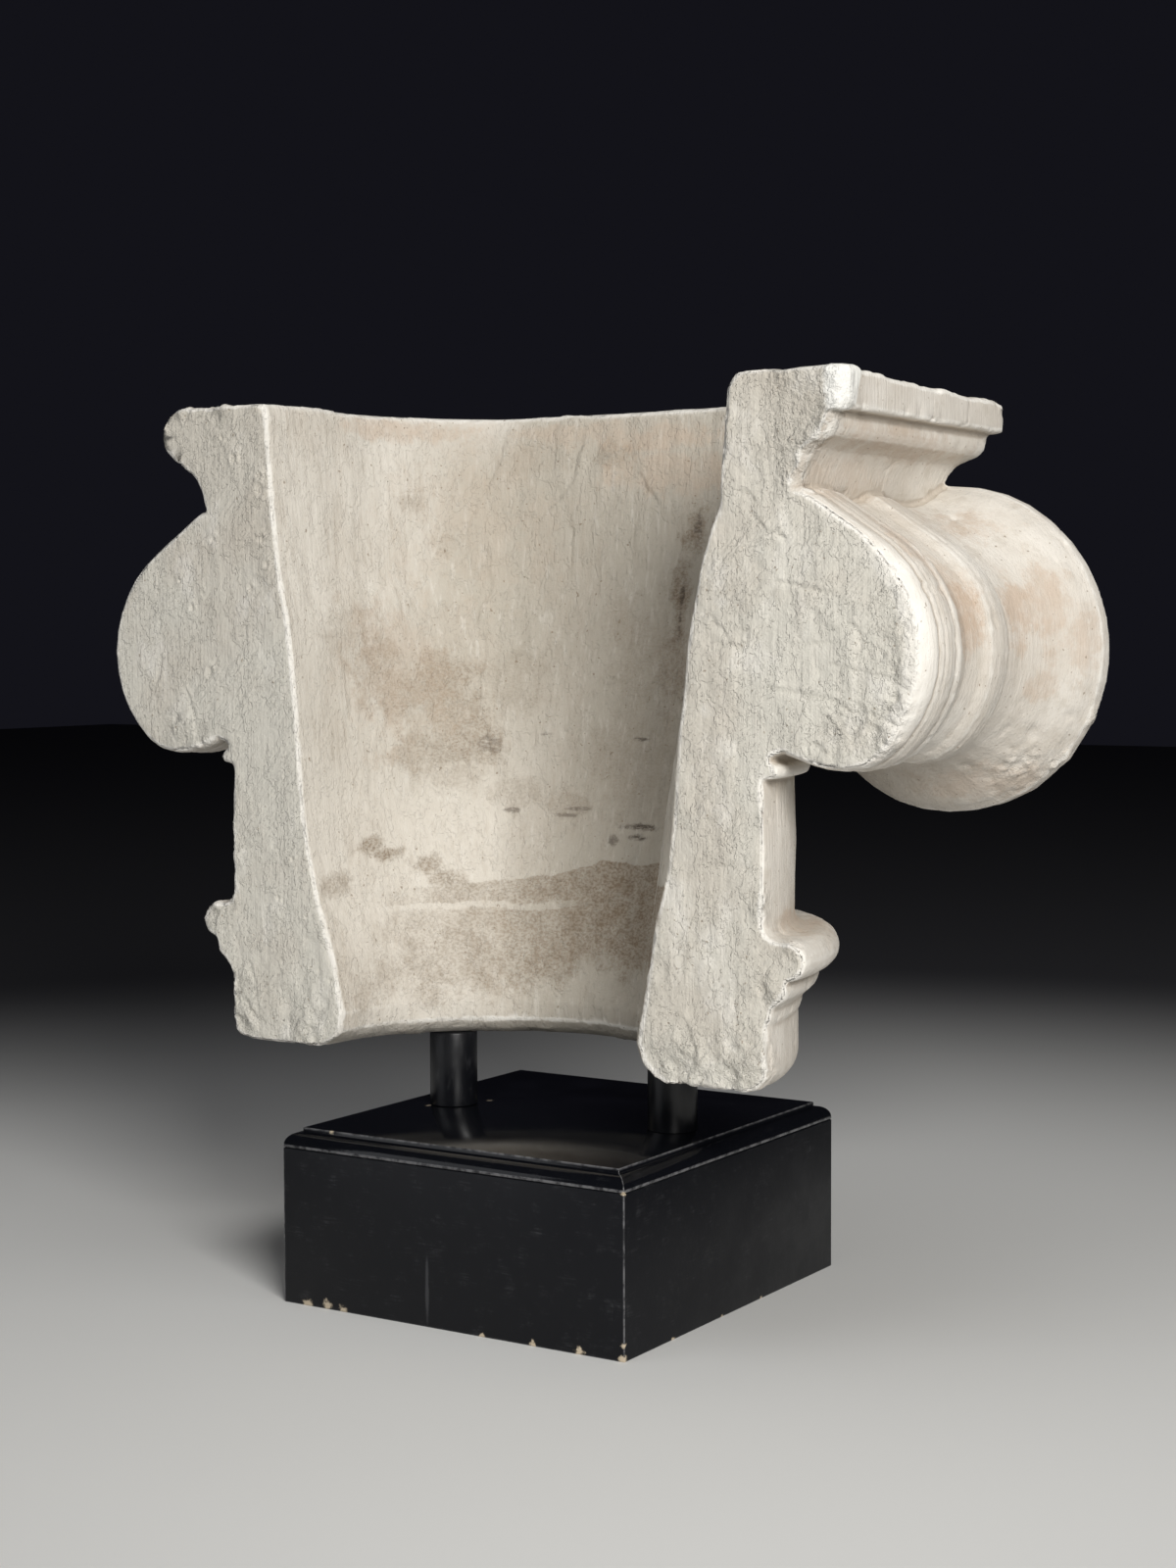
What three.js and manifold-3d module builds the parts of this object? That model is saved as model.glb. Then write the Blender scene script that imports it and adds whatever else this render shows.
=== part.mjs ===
// Half of a plaster Ionic capital, hollow behind, on two posts and a moulded plinth.
// Millimetres, +Z up. The origin is the centre of the plinth's underside. The volutes
// face -Y; the flat cut face, where the capital was parted, and its hollow face +Y.

import * as THREE from 'three';
import { mergeVertices } from 'three/addons/utils/BufferGeometryUtils.js';
import Module from 'manifold-3d';

const wasm = await Module();
wasm.setup();

// ---------------------------------------------------------------- driving dimensions

const GAP = 0.3; // between pieces that touch

const PLINTH = {
  width: 300,
  depth: 311,
  boxHeight: 117,
  topHeight: 131.5,
  filletHeight: 3.6,
  filletInset: 10.5,
  ovoloInset: 8.8,
};

const POST = {
  radius: 18.6,
  spacing: 200,
  y: 6,
  chamfer: 0.8,
  sides: 40,
};

// Where the capital stands: its middle, its cut face and its underside.
const PLACE = { x: -10.5, y: 126, z: 190 };

const HEIGHT = 484; // of the capital
const AXIS_Y = 12; // the column's axis lies a little behind the cut face
const TURN_SIDES = 64; // facets of a full turn

const COLUMN = {
  shaftRadius: 234,
  footRounding: 16,
  neckRadius: 231,
  neckSwell: 1.2,
  neckBottom: 114,
  neckTop: 212,
  torusRadius: 13.5,
  torusReach: 263,
  torusBottom: 77,
  filletRadius: 248.6,
  beadRadius: 5,
  beadReach: 243,
  echinusFoot: 236,
  echinusReach: 272,
  echinusTop: 338,
};

const ABACUS = {
  halfWidth: 292,
  halfDepth: 260,
  fasciaBottom: 455,
  soffit: 10,
};

const VOLUTE = {
  x: 262, // centre of each bolster
  height: 297,
  radius: 119.5,
  face: 242, // distance of the volute's ground from the cut face
  relief: 7, // of the spiral fillet over its ground
  eyeDrop: 14.5, // the eye sits below the centre of the bolster
  eyeRadius: 15,
  eyeDome: 6,
  turns: 2.9,
  turnRatio: 0.578, // each turn shrinks the spiral by this
};

const CANALIS = {
  halfWidth: 246,
  bottom: 330,
  top: 408,
  upperFillet: 13,
  lowerFillet: 9,
  sag: 12,
};

const SUNK = 1; // how far applied relief is let into the ground behind it

// ---------------------------------------------------------------- general helpers

const lerp = THREE.MathUtils.lerp;
const smoothstep = THREE.MathUtils.smoothstep;
const radians = THREE.MathUtils.degToRad;

// Points [radius, height] along an arc in a profile, angles in degrees.
function arc(centreR, centreH, radiusR, radiusH, from, to, steps) {
  const points = [];
  for (let i = 0; i <= steps; i++) {
    const angle = radians(lerp(from, to, i / steps));
    points.push([centreR + radiusR * Math.cos(angle), centreH + radiusH * Math.sin(angle)]);
  }
  return points;
}

// A closed skin over a stack of rings that all have the same number of points. Each end
// is a fan about the ring's mean point, so every ring is star-shaped about it.
function loft(rings) {
  const count = rings[0].length;
  const positions = rings.flat(2);
  const index = [];
  for (let k = 0; k + 1 < rings.length; k++) {
    for (let i = 0; i < count; i++) {
      const a = k * count + i;
      const b = k * count + (i + 1) % count;
      index.push(a, b, b + count, a, b + count, a + count);
    }
  }
  for (const [ring, flip] of [[0, true], [rings.length - 1, false]]) {
    const mean = [0, 1, 2].map((axis) => rings[ring].reduce((sum, p) => sum + p[axis], 0) / count);
    const centre = positions.length / 3;
    positions.push(...mean);
    for (let i = 0; i < count; i++) {
      const a = ring * count + i;
      const b = ring * count + (i + 1) % count;
      index.push(...(flip ? [b, a, centre] : [a, b, centre]));
    }
  }
  const geometry = new THREE.BufferGeometry();
  geometry.setAttribute('position', new THREE.Float32BufferAttribute(positions, 3));
  geometry.setIndex(index);
  return geometry;
}

// Volume inside a skin, negative where its faces point inwards.
function signedVolume(geometry) {
  const p = geometry.attributes.position;
  const index = geometry.index.array;
  const [a, b, c] = [new THREE.Vector3(), new THREE.Vector3(), new THREE.Vector3()];
  let sum = 0;
  for (let i = 0; i < index.length; i += 3) {
    a.fromBufferAttribute(p, index[i]);
    b.fromBufferAttribute(p, index[i + 1]);
    c.fromBufferAttribute(p, index[i + 2]);
    sum += a.dot(b.cross(c)) / 6;
  }
  return sum;
}

// A closed geometry as a solid that can be joined and cut, its faces pointing out.
function solid(geometry) {
  const skin = geometry.clone();
  for (const name of ['normal', 'uv']) {
    skin.deleteAttribute(name);
  }
  const merged = mergeVertices(skin, 1e-3);
  const triVerts = new Uint32Array(merged.index.array);
  if (signedVolume(merged) < 0) {
    for (let i = 0; i < triVerts.length; i += 3) {
      [triVerts[i], triVerts[i + 1]] = [triVerts[i + 1], triVerts[i]];
    }
  }
  const vertProperties = new Float32Array(merged.attributes.position.array);
  return new wasm.Manifold(new wasm.Mesh({ numProp: 3, vertProperties, triVerts }));
}

function geometryOf(manifold) {
  const mesh = manifold.getMesh();
  const geometry = new THREE.BufferGeometry();
  geometry.setAttribute('position', new THREE.Float32BufferAttribute(mesh.vertProperties, 3));
  geometry.setIndex(Array.from(mesh.triVerts));
  return geometry;
}

function box(xMin, xMax, yMin, yMax, zMin, zMax) {
  const geometry = new THREE.BoxGeometry(xMax - xMin, yMax - yMin, zMax - zMin);
  geometry.translate((xMin + xMax) / 2, (yMin + yMax) / 2, (zMin + zMax) / 2);
  return geometry;
}

// A moulded rectangular board: the profile is [inset from the edge, height] upwards, and
// it returns round all four sides with mitred corners.
function mouldedBoard(xMin, xMax, yMin, yMax, profile) {
  return loft(profile.map(([inset, z]) => [
    [xMin + inset, yMin + inset, z],
    [xMax - inset, yMin + inset, z],
    [xMax - inset, yMax - inset, z],
    [xMin + inset, yMax - inset, z],
  ]));
}

// An outline in the XZ plane, given thickness from y = -back to y = -front.
function plate(shape, back, front) {
  const geometry = new THREE.ExtrudeGeometry(shape, {
    depth: front - back,
    bevelEnabled: false,
    curveSegments: 12,
  });
  geometry.rotateX(Math.PI / 2);
  geometry.translate(0, -back, 0);
  return geometry;
}

// ---------------------------------------------------------------- plinth and posts

function plinthBox() {
  const { width, depth, boxHeight } = PLINTH;
  return box(-width / 2, width / 2, -depth / 2, depth / 2, 0, boxHeight);
}

// The top board: an ovolo round its edge, then a small fillet up to the flat top.
function plinthCap() {
  const { width, depth, boxHeight, topHeight, filletHeight, filletInset, ovoloInset } = PLINTH;
  const bottom = boxHeight + GAP;
  const shoulder = topHeight - filletHeight;
  const ovolo = arc(ovoloInset, bottom + 1.5, ovoloInset, shoulder - bottom - 1.5, 180, 90, 6);
  const profile = [[0, bottom], ...ovolo, [filletInset, shoulder], [filletInset, topHeight]];
  return mouldedBoard(-width / 2, width / 2, -depth / 2, depth / 2, profile);
}

function post() {
  const { radius, chamfer, sides } = POST;
  const bottom = PLINTH.topHeight + GAP;
  const top = PLACE.z - GAP;
  const profile = [
    [0, bottom],
    [radius, bottom],
    [radius, top - chamfer],
    [radius - chamfer, top],
    [0, top],
  ];
  return turned(profile, sides);
}

// A full turn about the Z axis of a profile [radius, height] that ends on the axis.
function turned(profile, sides) {
  const points = profile.map(([r, h]) => new THREE.Vector2(r, h));
  const geometry = new THREE.LatheGeometry(points, sides);
  geometry.rotateX(Math.PI / 2);
  return geometry;
}

// ---------------------------------------------------------------- capital

// Shaft stub, astragal, neck, bead and echinus, all turned about the column's axis.
function columnSolid() {
  const c = COLUMN;
  const torusCentreR = c.torusReach - c.torusRadius;
  const torusCentreH = c.torusBottom + c.torusRadius;
  const neckCurve = c.neckBottom - c.torusBottom - 2 * c.torusRadius;
  const beadCentreR = c.beadReach - c.beadRadius;
  const echinusBottom = c.neckTop + 2 * c.beadRadius + 5;
  const round = c.footRounding;
  const profile = [
    [0, 0],
    ...arc(c.shaftRadius - round, round, round, round, -90, 0, 4),
    [c.shaftRadius, 46],
    [c.shaftRadius + 2.5, 50],
    [c.shaftRadius + 3.5, 57],
    [c.filletRadius - 6.5, 61.5],
    [c.filletRadius - 1.5, 65.5],
    [c.filletRadius, 70],
    [c.filletRadius, c.torusBottom],
    ...arc(torusCentreR, torusCentreH, c.torusRadius, c.torusRadius, -90, 90, 8),
    ...arc(c.neckRadius + neckCurve, c.neckBottom, neckCurve, neckCurve, 270, 180, 3),
    [c.neckRadius + c.neckSwell, (c.neckBottom + c.neckTop) / 2],
    [c.neckRadius, c.neckTop],
    ...arc(beadCentreR, c.neckTop + c.beadRadius, c.beadRadius, c.beadRadius, -90, 90, 5),
    [c.echinusFoot, c.neckTop + 2 * c.beadRadius + 1],
    ...arc(
      c.echinusFoot, c.echinusTop,
      c.echinusReach - c.echinusFoot, c.echinusTop - echinusBottom,
      -90, 0, 7,
    ),
    [c.echinusReach - 4, c.echinusTop + 5],
    [CANALIS.halfWidth, c.echinusTop + 5],
    [CANALIS.halfWidth, CANALIS.top],
    [0, CANALIS.top],
  ];
  const geometry = turned(profile, TURN_SIDES);
  geometry.translate(0, AXIS_Y, 0);
  return solid(geometry);
}

// Fascia above, then a soffit and a cyma reversa down to the bolsters.
function abacusSolid() {
  const { halfWidth, halfDepth, fasciaBottom, soffit } = ABACUS;
  const profile = [
    [42, 398],
    [36, 408],
    [33, 418],
    [30, 425],
    [26, 431],
    [20, 435],
    [14, 438.5],
    [11, 443],
    [soffit, 448],
    [soffit, fasciaBottom],
    [0, fasciaBottom],
    [0, HEIGHT - 2],
    [1.5, HEIGHT],
  ];
  return solid(mouldedBoard(-halfWidth, halfWidth, -halfDepth, halfDepth, profile));
}

// Radius of the bolster at each distance from the cut face: a broad band with fine
// grooves at the middle, a hollow, a narrow ridge, then the flare to the volute's rim.
const BOLSTER_GIRTH = [
  [-3, 85.5],
  [5, 89.5],
  [15, 89.5],
  [18, 87.5],
  [21, 89.8],
  [31, 90.8],
  [41, 89.8],
  [44, 88],
  [47, 89.5],
  [54, 89],
  [60, 84.5],
  [80, 80],
  [98, 83],
  [107, 88.4],
  [119, 89.6],
  [132, 88.6],
  [140, 85],
  [158, 86.5],
  [176, 92],
  [192, 99.5],
  [206, 108.5],
  [217, 115],
  [223, 116.6],
  [228, 119.5],
  [242, 119.5],
];

// The band is fuller above, where it runs up under the abacus, and flatter below; both
// fade out along the flare, whose rim is round.
function bolsterRadius(girth, distance, angle) {
  const fade = 1 - smoothstep(distance, 135, 222);
  const rise = 23 * Math.min(Math.max((angle - 50) / 44, 0), 1) ** 2.7;
  const drop = 20 * smoothstep(-angle, 50, 108);
  return girth + fade * (rise - drop);
}

function bolsterSolid(side) {
  const rings = BOLSTER_GIRTH.map(([distance, girth]) => {
    const ring = [];
    for (let angle = -180; angle < 180; angle += 10) {
      const r = bolsterRadius(girth, distance, angle);
      ring.push([
        side * (VOLUTE.x + r * Math.cos(radians(angle))),
        -distance,
        VOLUTE.height + r * Math.sin(radians(angle)),
      ]);
    }
    return ring;
  });
  return solid(loft(rings));
}

const SPIRAL_START = VOLUTE.radius + VOLUTE.eyeDrop - 0.5;

// The spiral fillet on the volute's face. It starts under the abacus, runs outwards and
// down, and winds in to the eye.
function spiralSolid(side) {
  const { x, height, face, relief, eyeDrop, turns, turnRatio } = VOLUTE;
  const stepsPerTurn = 20;
  const draft = 1;
  const steps = Math.round(turns * stepsPerTurn);
  const rings = [];
  for (let i = 0; i <= steps; i++) {
    const turn = i / stepsPerTurn;
    const outer = SPIRAL_START * turnRatio ** turn;
    const width = 0.095 * outer + 1;
    const angle = Math.PI / 2 - 2 * Math.PI * turn;
    const section = [
      [outer, face - SUNK],
      [outer - draft, face + relief],
      [outer - width + draft, face + relief],
      [outer - width, face - SUNK],
    ];
    rings.push(section.map(([r, y]) => [
      side * (x + r * Math.cos(angle)),
      -y,
      height - eyeDrop + r * Math.sin(angle),
    ]));
  }
  return solid(loft(rings));
}

function eyeSolid(side) {
  const { x, height, face, eyeDrop, eyeRadius, eyeDome } = VOLUTE;
  const rim = face + 3;
  const dome = arc(0, rim, eyeRadius, eyeDome, 0, 90, 4);
  const geometry = turned([[0, face - SUNK], [eyeRadius, face - SUNK], ...dome], 24);
  geometry.rotateX(Math.PI / 2);
  geometry.translate(side * x, 0, height - eyeDrop);
  return solid(geometry);
}

// The channel between the volutes. The fillet above it runs into the start of each spiral
// and the one below, which sags, into the top of each spiral's second turn.
function canalisSolid() {
  const { halfWidth, bottom, top, upperFillet, lowerFillet, sag } = CANALIS;
  const { x, height, face, relief, eyeDrop, turnRatio } = VOLUTE;
  const spiralTop = height - eyeDrop + SPIRAL_START;
  const secondTop = height - eyeDrop + SPIRAL_START * turnRatio;
  const ground = new THREE.Shape();
  ground.moveTo(-halfWidth, bottom);
  ground.lineTo(halfWidth, bottom);
  ground.lineTo(halfWidth, top);
  ground.lineTo(-halfWidth, top);
  const upper = new THREE.Shape();
  upper.moveTo(-x, spiralTop - upperFillet);
  upper.lineTo(x, spiralTop - upperFillet);
  upper.lineTo(x, spiralTop);
  upper.lineTo(-x, spiralTop);
  const lower = new THREE.Shape();
  lower.moveTo(-x, secondTop);
  lower.quadraticCurveTo(0, secondTop - 2 * sag, x, secondTop);
  lower.lineTo(x, secondTop - lowerFillet);
  lower.quadraticCurveTo(0, secondTop - lowerFillet - 2 * sag, -x, secondTop - lowerFillet);
  return solid(plate(ground, 0, face))
    .add(solid(plate(upper, face - SUNK, face + relief)))
    .add(solid(plate(lower, face - SUNK, face + relief)));
}

// The hollow behind, open at the cut face, the top and the underside. It tapers downwards
// from a rounded square to a half round, and its mouth below is eased. Its wall on the -X
// side has a bevel towards the cut face. Each station is
// [height, half width to +X, half width to -X, depth, squareness, bevel].
const HOLLOW = [
  [-6, 156, 160, 163, 2, 4],
  [0, 147, 150, 153, 2, 7],
  [5, 137, 139, 143, 2, 9],
  [12, 129, 130, 136, 2, 9],
  [26, 126.5, 125, 136, 2.1, 9],
  [66, 134.5, 132.5, 147, 2.2, 9],
  [110, 149, 138, 160, 2.4, 11],
  [146, 157, 143.5, 170, 2.5, 14.5],
  [182, 162.5, 149, 179, 2.7, 14],
  [250, 168, 161, 193, 3, 7],
  [315, 175, 172.5, 206, 3.2, 3],
  [356, 183, 182, 213, 3.4, 0.5],
  [394, 187.5, 197, 217, 3.5, 0.5],
  [474, 194.5, 203, 226, 3.6, 0.5],
  [481, 196, 206, 227.5, 3.6, 2.5],
  [484, 198, 210, 229.5, 3.6, 4],
  [492, 203, 221, 235, 3.6, 4],
];

function hollowSolid() {
  const arcSteps = 24;
  const behind = 20;
  const bevelDepth = 12;
  const rings = HOLLOW.map(([height, toLeft, toRight, depth, squareness, bevel]) => {
    const ring = [];
    for (let i = 0; i <= arcSteps; i++) {
      const angle = Math.PI * i / arcSteps;
      const c = Math.cos(angle);
      const s = Math.sin(angle);
      const halfWidth = c > 0 ? toLeft : toRight;
      ring.push([
        halfWidth * Math.sign(c) * Math.abs(c) ** (2 / squareness),
        -bevelDepth - (depth - bevelDepth) * s ** (2 / squareness),
        height,
      ]);
    }
    ring.push([-toRight - bevel, 0, height]);
    ring.push([-toRight - bevel, behind, height]);
    ring.push([toLeft, behind, height]);
    return ring;
  });
  return solid(loft(rings));
}

function capitalGeometry() {
  const reach = 600;
  const behindTheCut = solid(box(-reach, reach, 0, reach, -reach, reach));
  let capital = columnSolid().add(abacusSolid()).add(canalisSolid());
  for (const side of [-1, 1]) {
    capital = capital.add(bolsterSolid(side)).add(spiralSolid(side)).add(eyeSolid(side));
  }
  return geometryOf(capital.subtract(behindTheCut).subtract(hollowSolid()));
}

// ---------------------------------------------------------------- assembly

const plaster = new THREE.MeshStandardMaterial({ color: 0xd8d3ca, roughness: 0.9 });
const blackPaint = new THREE.MeshStandardMaterial({ color: 0x101113, roughness: 0.4 });
const blackBoard = new THREE.MeshStandardMaterial({ color: 0x0e0f11, roughness: 0.35 });
const blackSteel = new THREE.MeshStandardMaterial({
  color: 0x15161a,
  roughness: 0.35,
  metalness: 0.6,
});

function named(name, geometry, material) {
  const mesh = new THREE.Mesh(geometry, material);
  mesh.name = name;
  return mesh;
}

const group = new THREE.Group();
group.add(named('plinth_box', plinthBox(), blackPaint));
group.add(named('plinth_cap', plinthCap(), blackBoard));

for (const [name, side] of [['post_left', -1], ['post_right', 1]]) {
  const mesh = named(name, post(), blackSteel.clone());
  mesh.position.set(side * POST.spacing / 2, POST.y, 0);
  group.add(mesh);
}

const capital = named('capital', capitalGeometry(), plaster);
capital.position.set(PLACE.x, PLACE.y, PLACE.z);
group.add(capital);

export default group;
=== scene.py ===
"""The looks of half a plaster Ionic capital on its black display plinth.

Everything is in metres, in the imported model's frame: +Z up, the volutes facing -Y, the flat
cut face and the hollow behind it facing +Y. Places on the capital are written in
millimetres from the middle of its cut face: x to the side, d forwards from the cut, and
height z over the floor.
"""

import itertools
import math

import bmesh
import bpy
import numpy as np
from mathutils import Matrix, Vector
from mathutils.kdtree import KDTree


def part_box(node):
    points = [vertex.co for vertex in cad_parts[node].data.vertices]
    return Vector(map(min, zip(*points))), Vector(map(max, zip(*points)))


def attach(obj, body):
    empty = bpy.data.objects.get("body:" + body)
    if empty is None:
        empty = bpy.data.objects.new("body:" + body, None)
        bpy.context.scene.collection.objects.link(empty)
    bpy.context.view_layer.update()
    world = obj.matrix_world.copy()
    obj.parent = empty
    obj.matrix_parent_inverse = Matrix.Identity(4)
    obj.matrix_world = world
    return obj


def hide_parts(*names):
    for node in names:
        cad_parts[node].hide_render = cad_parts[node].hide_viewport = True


MM = 0.001

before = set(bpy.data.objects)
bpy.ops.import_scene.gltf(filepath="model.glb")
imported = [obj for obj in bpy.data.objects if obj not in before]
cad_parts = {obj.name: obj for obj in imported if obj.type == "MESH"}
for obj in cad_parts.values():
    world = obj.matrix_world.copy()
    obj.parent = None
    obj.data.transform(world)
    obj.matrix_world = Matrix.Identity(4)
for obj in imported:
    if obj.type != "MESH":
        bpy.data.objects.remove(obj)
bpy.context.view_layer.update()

# ------------------------------------------------------------------ sizes and places

CAPITAL_LOW, CAPITAL_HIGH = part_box("capital")
MIDDLE_X = (CAPITAL_LOW.x + CAPITAL_HIGH.x) / 2
CUT_Y = CAPITAL_HIGH.y
TOP_Z = CAPITAL_HIGH.z

BOLSTER_X = 262  # mm, centre of each bolster from the capital's middle
BOLSTER_Z = 487  # mm over the floor
FASCIA_X = 292  # mm, half the abacus's width
NOSE_X, NOSE_Z, NOSE_RADIUS = 276, 652, 20.5  # mm, the worn end of the fascia

PALE_FLOOR = (0.72, 0.72, 0.705, 1)
# Past PALE_REACH the floor's colour darkens outwards: a painted falloff of the light into the dark studio.
PAINTED_FALLOFF_FLOOR = (0.03, 0.03, 0.035, 1)
PALE_REACH, PAINTED_FALLOFF_REACH = 0.5, 1.9  # metres from the middle of the plinth

VOXEL = 1.7 * MM
MOST_TRIANGLES = 190_000
SEED = 11

# Round air bubbles that the cut opened on the +X side: (x, z, radius).
BUBBLES = [
    (238, 650, 3.2),
    (226, 634, 4.0),
    (201, 609, 5.0),
    (201, 620, 3.0),
    (248, 573, 3.6),
    (200, 573, 4.0),
    (205, 574, 2.5),
    (195, 553, 3.2),
    (282, 542, 2.6),
    (270, 521, 3.4),
    (258, 532, 2.6),
    (253, 472, 4.2),
    (211, 535, 3.6),
    (173, 330, 3.0),
    (187, 300, 2.6),
    (160, 288, 2.4),
]

# Scratches across the cut faces, each a run of (x, z) points.
SCRATCHES = [
    [(302, 511), (304, 503)],
    [(303, 483), (303, 473), (309, 461)],
    [(280, 462), (273, 450), (268, 436)],
    [(287, 580), (283, 570)],
    [(247, 473), (257, 465)],
    [(232, 225), (224, 212), (216, 200)],
    [(216, 250), (211, 232), (209, 215)],
    [(-192, 511), (-193, 506), (-200, 503), (-206, 493)],
    [(-196, 492), (-207, 492), (-214, 490)],
    [(-221, 503), (-219, 495), (-218, 490)],
    [(-241, 534), (-262, 529), (-282, 525)],
    [(-235, 463), (-262, 459), (-285, 455)],
    [(-282, 479), (-303, 474), (-325, 470)],
    [(-262, 492), (-281, 493)],
    [(-293, 504), (-299, 504), (-303, 498), (-304, 489)],
    [(-290, 451), (-297, 447), (-310, 447), (-331, 438)],
    [(-278, 445), (-285, 439), (-293, 427)],
    [(-260, 425), (-272, 426), (-277, 421)],
    [(-226, 575), (-238, 564)],
    [(-240, 567), (-249, 561)],
    [(-235, 628), (-234, 616), (-236, 606)],
    [(-212, 594), (-219, 593), (-225, 587)],
    [(-276, 655), (-276, 632)],
    [(-170, 236), (-180, 212)],
]

# Folds in the back wall of the hollow, where one pour lapped over the last: runs of (x, z).
FOLDS = [
    [(122, 656), (124, 640), (131, 622), (137, 603), (145, 580)],
    [(130, 578), (129, 562)],
    [(126, 562), (125, 548), (124, 530), (127, 512), (130, 498)],
    [(52, 654), (56, 636), (61, 622), (70, 610), (85, 596)],
    [(-4, 624), (-8, 616), (-14, 609), (-20, 602)],
    [(59, 582), (57, 556)],
    [(120, 495), (119, 478), (121, 462), (118, 448)],
    [(107, 428), (112, 418), (119, 410)],
]

# Rough patches left where plaster tore or crumbled: (x, d, z, reach, depth), all mm.
CRUSTS = [
    (-277, 1, 642, 8, 1.6),
    (-268, 2, 624, 8, 1.6),
    (-256, 2, 609, 8, 1.6),
    (-245, 1, 674, 16, 0.9),
    (-328, 1, 524, 11, 1.2),
    (-334, 1, 500, 12, 1.2),
    (-334, 1, 478, 13, 1.6),
    (-330, 1, 452, 14, 2.0),
    (-303, 1, 444, 17, 1.3),
    (-286, 1, 434, 12, 1.4),
    (-320, 1, 428, 16, 2.0),
    (-236, 2, 318, 14, 1.6),
    (-252, 3, 298, 13, 1.6),
    (-236, 2, 262, 13, 1.4),
    (-165, 1, 205, 26, 1.5),
    (-218, 1, 208, 24, 1.5),
    (240, 2, 298, 13, 1.8),
    (250, 2, 285, 11, 1.8),
    (236, 2, 336, 14, 1.2),
    (222, 1, 206, 16, 2.0),
    (226, 1, 232, 12, 1.4),
    (160, 1, 200, 22, 1.3),
    (262, 1, 418, 14, 1.6),
    (284, 1, 430, 16, 1.2),
    (276, 2, 672, 10, 1.4),
    (292, 2, 655, 9, 1.6),
    (240, 1, 674, 15, 1.8),
    (-367, 236, 440, 9, 3.2),
    (-352, 230, 404, 15, 1.6),
    (-330, 205, 405, 24, 1.2),
]

# The tables below hold (x, d, z, across, deep, high, strength), all mm but the last.

# Brown speckled stains in the hollow. The foot of its back wall has one more, up to TIDE.
STAINS = [
    (172, 82, 500, 22, 40, 26, 0.35),
    (167, 95, 476, 18, 30, 24, 0.6),
    (156, 118, 452, 22, 40, 20, 0.6),
    (140, 145, 462, 24, 40, 24, 0.65),
    (126, 160, 440, 24, 40, 22, 0.55),
    (140, 135, 408, 22, 40, 18, 0.55),
    (118, 158, 414, 22, 30, 20, 0.65),
    (128, 148, 390, 28, 30, 12, 0.35),
    (92, 175, 462, 24, 40, 30, 0.3),
    (84, 172, 374, 26, 30, 13, 0.4),
    (36, 185, 366, 26, 30, 9, 0.35),
    (151, 66, 338, 6, 16, 8, 0.85),
    (144, 86, 330, 7, 16, 5, 0.85),
    (130, 110, 320, 12, 20, 7, 0.8),
    (114, 124, 308, 12, 20, 6, 0.75),
    (152, 24, 310, 5, 14, 10, 0.6),
    (162, 20, 292, 5, 14, 14, 0.4),
    (30, 222, 642, 22, 30, 9, 0.5),
    (172, 160, 606, 8, 30, 9, 0.4),
    (152, 175, 574, 10, 30, 12, 0.35),
    (100, 218, 640, 40, 30, 12, 0.2),
    (-54, 214, 583, 12, 24, 16, 0.9),
    (-46, 208, 518, 8, 30, 30, 0.9),
    (-44, 200, 470, 18, 30, 40, 0.6),
    (-20, 205, 480, 34, 40, 50, 0.3),
    (-20, 190, 400, 50, 40, 50, 0.3),
]
# The wavy upper edge of the damp stain at the foot of the back wall: (x, z).
TIDE = [(-60, 326), (-34, 322), (0, 325), (12, 319), (46, 311), (76, 307), (112, 304), (150, 300)]

# Dark smears and hairline cracks in the hollow.
SMEARS = [
    (-30, 172, 351, 15, 22, 3, 0.95),
    (-30, 171, 343, 13, 22, 3, 0.9),
    (-8, 171, 341, 5, 22, 4, 0.6),
    (40, 176, 358, 9, 22, 1.2, 0.5),
    (26, 177, 363, 10, 22, 1.2, 0.5),
    (62, 176, 421, 6, 22, 1.6, 0.6),
    (-22, 196, 418, 7, 22, 1.2, 0.7),
    (84, 170, 361, 8, 20, 1.8, 0.6),
    (-56, 214, 584, 5, 24, 10, 0.7),
    (-46, 210, 528, 2, 24, 10, 0.8),
    (-46, 207, 510, 2, 24, 10, 0.8),
    (106, 165, 413, 8, 20, 6, 0.4),
]

# Ochre and pinkish dirt, in the hollow and on the mouldings.
TINTS = [
    (-20, 222, 652, 80, 40, 10, 0.5),
    (-30, 222, 626, 60, 40, 16, 0.45),
    (60, 222, 660, 60, 40, 8, 0.4),
    (176, 150, 662, 50, 60, 9, 0.55),
    (120, 175, 600, 60, 50, 70, 0.2),
    (150, 110, 480, 40, 50, 60, 0.3),
    (-318, 42, 556, 30, 13, 30, 0.55),
    (-332, 44, 520, 14, 13, 24, 0.4),
    (-341, 82, 512, 14, 20, 26, 0.9),
    (-330, 80, 555, 26, 22, 26, 0.5),
    (-348, 158, 516, 20, 20, 26, 0.75),
    (-352, 192, 520, 20, 18, 32, 0.6),
    (-372, 212, 494, 12, 16, 26, 0.5),
    (-352, 180, 462, 10, 16, 11, 0.5),
    (-320, 150, 582, 40, 40, 14, 0.6),
    (-280, 60, 604, 50, 60, 16, 0.35),
    (-262, 110, 632, 30, 90, 12, 0.55),
    (-214, 80, 300, 40, 60, 9, 0.6),
    (-300, 200, 392, 40, 40, 16, 0.45),
]

# ------------------------------------------------------------------ camera, stage, lights

CAMERA_PLACE = Vector((-1.0367, 1.5844, 0.4985))
CAMERA_HEADING = math.radians(32.62)  # turned from -Y towards +X
CAMERA_PITCH = math.radians(-3.417)
CAMERA_ROLL = math.radians(-0.231)
CAMERA_SENSOR = 36.0  # mm across the picture's width
CAMERA_LENS = 76.2


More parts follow.
